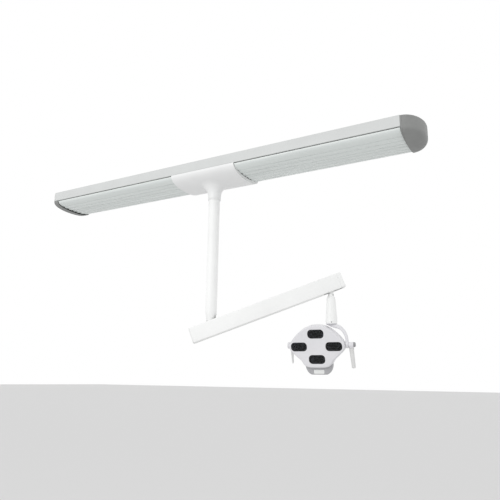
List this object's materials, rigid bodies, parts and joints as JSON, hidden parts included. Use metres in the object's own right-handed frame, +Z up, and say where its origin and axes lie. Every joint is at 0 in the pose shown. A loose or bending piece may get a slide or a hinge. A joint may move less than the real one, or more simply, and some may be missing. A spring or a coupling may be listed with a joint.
{
  "type": "surgical light",
  "caption": "Ceiling-mounted dental operating light: a long ambient-light bar with a down pole, a spring-balanced arm and a tilting multi-lens lamp head.",
  "frame": {"origin": "on the ceiling face of the bar, on the axis of the down pole", "axes": "+Z up out of the ceiling face, +X along the bar towards the end over the lamp head, +Y away from the side that the lamp faces"},
  "size_m": [2.3665, 0.5069, 1.1474],
  "materials": {
    "white_paint": "semi-gloss white powder coat",
    "white_plastic": "smooth white moulding",
    "tray_white": "high-reflectance white",
    "cap_grey": "fine-textured grey moulding",
    "diffuser_acrylic": "ribbed translucent acrylic",
    "lamp_glass": "phosphor-coated glass",
    "head_plastic": "satin pale lilac-grey moulding",
    "grip_plastic": "satin autoclavable moulding",
    "lens_black": "dark-tinted clear lens",
    "sensor_lens": "pale translucent sensor cover",
    "reflector_metal": "faceted bright reflector",
    "steel": "machined and zinc plated",
    "housing_steel": "plain sheet enclosure",
    "spring_steel": "oiled spring wire",
    "bearing_polymer": "acetal",
    "led_board": "solder-masked board",
    "heat_sink": "extruded and anodised"
  },
  "bodies": {
    "ceiling_unit": {"chassis": "white_paint", "mount_plate": "steel", "end_cap_left": "cap_grey", "end_cap_right": "cap_grey", "centre_cover": "white_paint", "power_supply": "housing_steel", "pole_flange": "steel", "pole": "white_paint", "neck_ring": "white_plastic", "pole_bush": "bearing_polymer", "reflector_tray_left": "tray_white", "diffuser_left": "diffuser_acrylic", "ballast_left": "housing_steel", "reflector_tray_right": "tray_white", "diffuser_right": "diffuser_acrylic", "ballast_right": "housing_steel", "lamp_left_front": "lamp_glass", "lamp_left_rear": "lamp_glass", "lamp_right_front": "lamp_glass", "lamp_right_rear": "lamp_glass", "lampholder_left_inner": "white_plastic", "lampholder_left_outer": "white_plastic", "lampholder_right_inner": "white_plastic", "lampholder_right_outer": "white_plastic"},
    "arm_swivel": {"swivel_knuckle": "steel"},
    "arm": {"arm_beam": "steel", "arm_shell_front": "white_paint", "arm_shell_rear": "white_paint", "arm_tail_cap": "white_plastic", "arm_nose_cap": "white_plastic", "lift_pin": "steel", "level_pin": "steel", "balance_spring": "spring_steel", "spring_rod": "steel", "spring_seat": "steel"},
    "levelling_link": {"levelling_rod": "steel"},
    "nose_mount": {"nose_knuckle": "white_paint"},
    "stem": {"stem_housing": "white_paint", "brake_screw": "steel", "yoke_arm": "head_plastic"},
    "head": {"rear_housing": "head_plastic", "front_cover": "head_plastic", "led_board": "led_board", "heat_sink": "heat_sink", "chin_pod": "head_plastic", "sensor_window": "sensor_lens", "tilt_shaft": "steel", "handle_hub_right": "head_plastic", "tilt_knob": "cap_grey", "handle_grip_right": "grip_plastic", "handle_hub_left": "head_plastic", "handle_grip_left": "grip_plastic", "lens_top": "lens_black", "lens_left": "lens_black", "lens_right": "lens_black", "lens_bottom": "lens_black", "reflector_top": "reflector_metal", "reflector_left": "reflector_metal", "reflector_right": "reflector_metal", "reflector_bottom": "reflector_metal"}
  },
  "joints": [
    {"name": "arm_turn", "type": "hinge", "parent": "ceiling_unit", "child": "arm_swivel", "pos_m": [0, 0, -0.917], "axis": [0, 0, 1], "range_deg": [-165, 165]},
    {"name": "arm_lift", "type": "hinge", "parent": "arm_swivel", "child": "arm", "pos_m": [0, 0, -0.917], "axis": [0.4695, -0.8829, 0], "range_deg": [-59, 17]},
    {"name": "levelling", "type": "hinge", "parent": "arm_swivel", "child": "levelling_link", "pos_m": [0, 0, -0.939], "axis": [0.4695, -0.8829, 0], "range_deg": [-59, 17]},
    {"name": "stem_level", "type": "hinge", "parent": "arm", "child": "nose_mount", "pos_m": [0.56877, 0.30242, -0.66973], "axis": [0.4695, -0.8829, 0], "range_deg": [-17, 59]},
    {"name": "stem_turn", "type": "hinge", "parent": "nose_mount", "child": "stem", "pos_m": [0.56877, 0.30242, -0.884], "axis": [0, 0, 1], "range_deg": [-170, 170]},
    {"name": "head_tilt", "type": "hinge", "parent": "stem", "child": "head", "pos_m": [0.49202, 0.29163, -0.994], "axis": [0.9903, 0.1392, 0], "range_deg": [-40, 75]}
  ],
  "couplings": [
    {"joint": "levelling", "follows": "arm_lift", "ratio": 1},
    {"joint": "stem_level", "follows": "arm_lift", "ratio": -1}
  ]
}
